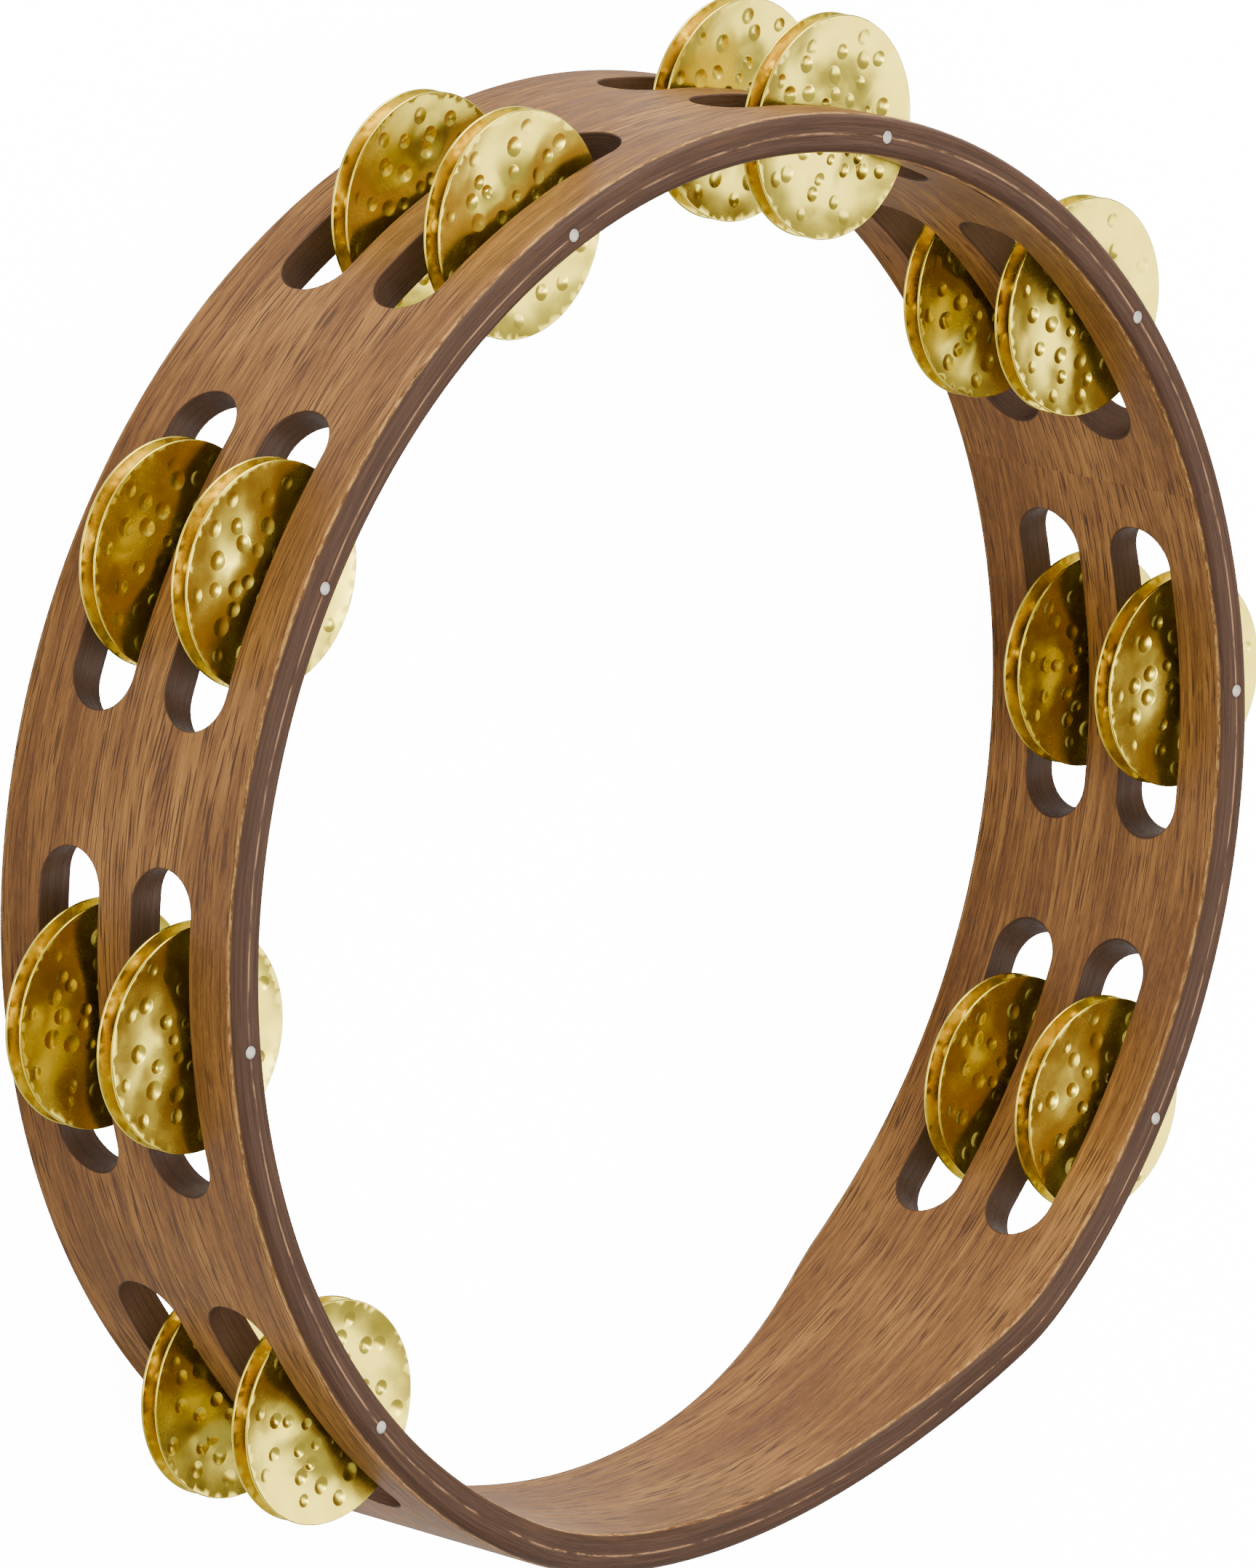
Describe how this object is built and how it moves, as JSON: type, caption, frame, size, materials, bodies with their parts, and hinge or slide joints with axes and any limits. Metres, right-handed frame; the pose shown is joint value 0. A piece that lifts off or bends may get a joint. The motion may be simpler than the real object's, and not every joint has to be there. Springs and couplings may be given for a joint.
{
  "type": "tambourine",
  "caption": "Round wooden hand tambourine with no skin, two rows of paired hammered brass jingles on steel pins, and a plain narrowed grip.",
  "frame": {"origin": "on the plane the back rim stands on, below the middle of the whole outline; the hoop's axis passes 4.86 mm towards -Y of it", "axes": "+Z along the hoop's axis, towards the rim that shows the pin heads; the hand grip is centred on -Y; +X to the right with the grip nearest"},
  "size_m": [0.2858, 0.2638, 0.056],
  "materials": {
    "walnut": "walnut-brown stained, satin, worn on the edges",
    "walnut_inside": "walnut-brown stained, satin",
    "pin_steel": "drawn steel rod, cut end",
    "brass": "hammered, polished"
  },
  "bodies": {
    "hoop": {"outer_ply": "walnut", "inner_ply": "walnut_inside", "pin_1": "pin_steel", "pin_2": "pin_steel", "pin_3": "pin_steel", "pin_4": "pin_steel", "pin_5": "pin_steel", "pin_6": "pin_steel", "pin_7": "pin_steel", "pin_8": "pin_steel"},
    "jingle_1_bottom_low": {"jingle_1_bottom_low": "brass"},
    "jingle_1_bottom_high": {"jingle_1_bottom_high": "brass"},
    "jingle_1_top_low": {"jingle_1_top_low": "brass"},
    "jingle_1_top_high": {"jingle_1_top_high": "brass"},
    "jingle_2_bottom_low": {"jingle_2_bottom_low": "brass"},
    "jingle_2_bottom_high": {"jingle_2_bottom_high": "brass"},
    "jingle_2_top_low": {"jingle_2_top_low": "brass"},
    "jingle_2_top_high": {"jingle_2_top_high": "brass"},
    "jingle_3_bottom_low": {"jingle_3_bottom_low": "brass"},
    "jingle_3_bottom_high": {"jingle_3_bottom_high": "brass"},
    "jingle_3_top_low": {"jingle_3_top_low": "brass"},
    "jingle_3_top_high": {"jingle_3_top_high": "brass"},
    "jingle_4_bottom_low": {"jingle_4_bottom_low": "brass"},
    "jingle_4_bottom_high": {"jingle_4_bottom_high": "brass"},
    "jingle_4_top_low": {"jingle_4_top_low": "brass"},
    "jingle_4_top_high": {"jingle_4_top_high": "brass"},
    "jingle_5_bottom_low": {"jingle_5_bottom_low": "brass"},
    "jingle_5_bottom_high": {"jingle_5_bottom_high": "brass"},
    "jingle_5_top_low": {"jingle_5_top_low": "brass"},
    "jingle_5_top_high": {"jingle_5_top_high": "brass"},
    "jingle_6_bottom_low": {"jingle_6_bottom_low": "brass"},
    "jingle_6_bottom_high": {"jingle_6_bottom_high": "brass"},
    "jingle_6_top_low": {"jingle_6_top_low": "brass"},
    "jingle_6_top_high": {"jingle_6_top_high": "brass"},
    "jingle_7_bottom_low": {"jingle_7_bottom_low": "brass"},
    "jingle_7_bottom_high": {"jingle_7_bottom_high": "brass"},
    "jingle_7_top_low": {"jingle_7_top_low": "brass"},
    "jingle_7_top_high": {"jingle_7_top_high": "brass"},
    "jingle_8_bottom_low": {"jingle_8_bottom_low": "brass"},
    "jingle_8_bottom_high": {"jingle_8_bottom_high": "brass"},
    "jingle_8_top_low": {"jingle_8_top_low": "brass"},
    "jingle_8_top_high": {"jingle_8_top_high": "brass"}
  },
  "joints": [
    {"name": "slide_1_bottom", "type": "slide", "parent": "hoop", "child": "jingle_1_bottom_low", "axis": [0, 0, 1], "range_m": [-0.0076, 0.0004]},
    {"name": "clap_1_bottom", "type": "slide", "parent": "jingle_1_bottom_low", "child": "jingle_1_bottom_high", "axis": [0, 0, 1], "range_m": [0, 0.0008]},
    {"name": "slide_1_top", "type": "slide", "parent": "hoop", "child": "jingle_1_top_low", "axis": [0, 0, 1], "range_m": [-0.0076, 0.0004]},
    {"name": "clap_1_top", "type": "slide", "parent": "jingle_1_top_low", "child": "jingle_1_top_high", "axis": [0, 0, 1], "range_m": [0, 0.0008]},
    {"name": "slide_2_bottom", "type": "slide", "parent": "hoop", "child": "jingle_2_bottom_low", "axis": [0, 0, 1], "range_m": [-0.0076, 0.0004]},
    {"name": "clap_2_bottom", "type": "slide", "parent": "jingle_2_bottom_low", "child": "jingle_2_bottom_high", "axis": [0, 0, 1], "range_m": [0, 0.0008]},
    {"name": "slide_2_top", "type": "slide", "parent": "hoop", "child": "jingle_2_top_low", "axis": [0, 0, 1], "range_m": [-0.0076, 0.0004]},
    {"name": "clap_2_top", "type": "slide", "parent": "jingle_2_top_low", "child": "jingle_2_top_high", "axis": [0, 0, 1], "range_m": [0, 0.0008]},
    {"name": "slide_3_bottom", "type": "slide", "parent": "hoop", "child": "jingle_3_bottom_low", "axis": [0, 0, 1], "range_m": [-0.0076, 0.0004]},
    {"name": "clap_3_bottom", "type": "slide", "parent": "jingle_3_bottom_low", "child": "jingle_3_bottom_high", "axis": [0, 0, 1], "range_m": [0, 0.0008]},
    {"name": "slide_3_top", "type": "slide", "parent": "hoop", "child": "jingle_3_top_low", "axis": [0, 0, 1], "range_m": [-0.0076, 0.0004]},
    {"name": "clap_3_top", "type": "slide", "parent": "jingle_3_top_low", "child": "jingle_3_top_high", "axis": [0, 0, 1], "range_m": [0, 0.0008]},
    {"name": "slide_4_bottom", "type": "slide", "parent": "hoop", "child": "jingle_4_bottom_low", "axis": [0, 0, 1], "range_m": [-0.0076, 0.0004]},
    {"name": "clap_4_bottom", "type": "slide", "parent": "jingle_4_bottom_low", "child": "jingle_4_bottom_high", "axis": [0, 0, 1], "range_m": [0, 0.0008]},
    {"name": "slide_4_top", "type": "slide", "parent": "hoop", "child": "jingle_4_top_low", "axis": [0, 0, 1], "range_m": [-0.0076, 0.0004]},
    {"name": "clap_4_top", "type": "slide", "parent": "jingle_4_top_low", "child": "jingle_4_top_high", "axis": [0, 0, 1], "range_m": [0, 0.0008]},
    {"name": "slide_5_bottom", "type": "slide", "parent": "hoop", "child": "jingle_5_bottom_low", "axis": [0, 0, 1], "range_m": [-0.0076, 0.0004]},
    {"name": "clap_5_bottom", "type": "slide", "parent": "jingle_5_bottom_low", "child": "jingle_5_bottom_high", "axis": [0, 0, 1], "range_m": [0, 0.0008]},
    {"name": "slide_5_top", "type": "slide", "parent": "hoop", "child": "jingle_5_top_low", "axis": [0, 0, 1], "range_m": [-0.0076, 0.0004]},
    {"name": "clap_5_top", "type": "slide", "parent": "jingle_5_top_low", "child": "jingle_5_top_high", "axis": [0, 0, 1], "range_m": [0, 0.0008]},
    {"name": "slide_6_bottom", "type": "slide", "parent": "hoop", "child": "jingle_6_bottom_low", "axis": [0, 0, 1], "range_m": [-0.0076, 0.0004]},
    {"name": "clap_6_bottom", "type": "slide", "parent": "jingle_6_bottom_low", "child": "jingle_6_bottom_high", "axis": [0, 0, 1], "range_m": [0, 0.0008]},
    {"name": "slide_6_top", "type": "slide", "parent": "hoop", "child": "jingle_6_top_low", "axis": [0, 0, 1], "range_m": [-0.0076, 0.0004]},
    {"name": "clap_6_top", "type": "slide", "parent": "jingle_6_top_low", "child": "jingle_6_top_high", "axis": [0, 0, 1], "range_m": [0, 0.0008]},
    {"name": "slide_7_bottom", "type": "slide", "parent": "hoop", "child": "jingle_7_bottom_low", "axis": [0, 0, 1], "range_m": [-0.0076, 0.0004]},
    {"name": "clap_7_bottom", "type": "slide", "parent": "jingle_7_bottom_low", "child": "jingle_7_bottom_high", "axis": [0, 0, 1], "range_m": [0, 0.0008]},
    {"name": "slide_7_top", "type": "slide", "parent": "hoop", "child": "jingle_7_top_low", "axis": [0, 0, 1], "range_m": [-0.0076, 0.0004]},
    {"name": "clap_7_top", "type": "slide", "parent": "jingle_7_top_low", "child": "jingle_7_top_high", "axis": [0, 0, 1], "range_m": [0, 0.0008]},
    {"name": "slide_8_bottom", "type": "slide", "parent": "hoop", "child": "jingle_8_bottom_low", "axis": [0, 0, 1], "range_m": [-0.0076, 0.0004]},
    {"name": "clap_8_bottom", "type": "slide", "parent": "jingle_8_bottom_low", "child": "jingle_8_bottom_high", "axis": [0, 0, 1], "range_m": [0, 0.0008]},
    {"name": "slide_8_top", "type": "slide", "parent": "hoop", "child": "jingle_8_top_low", "axis": [0, 0, 1], "range_m": [-0.0076, 0.0004]},
    {"name": "clap_8_top", "type": "slide", "parent": "jingle_8_top_low", "child": "jingle_8_top_high", "axis": [0, 0, 1], "range_m": [0, 0.0008]}
  ]
}
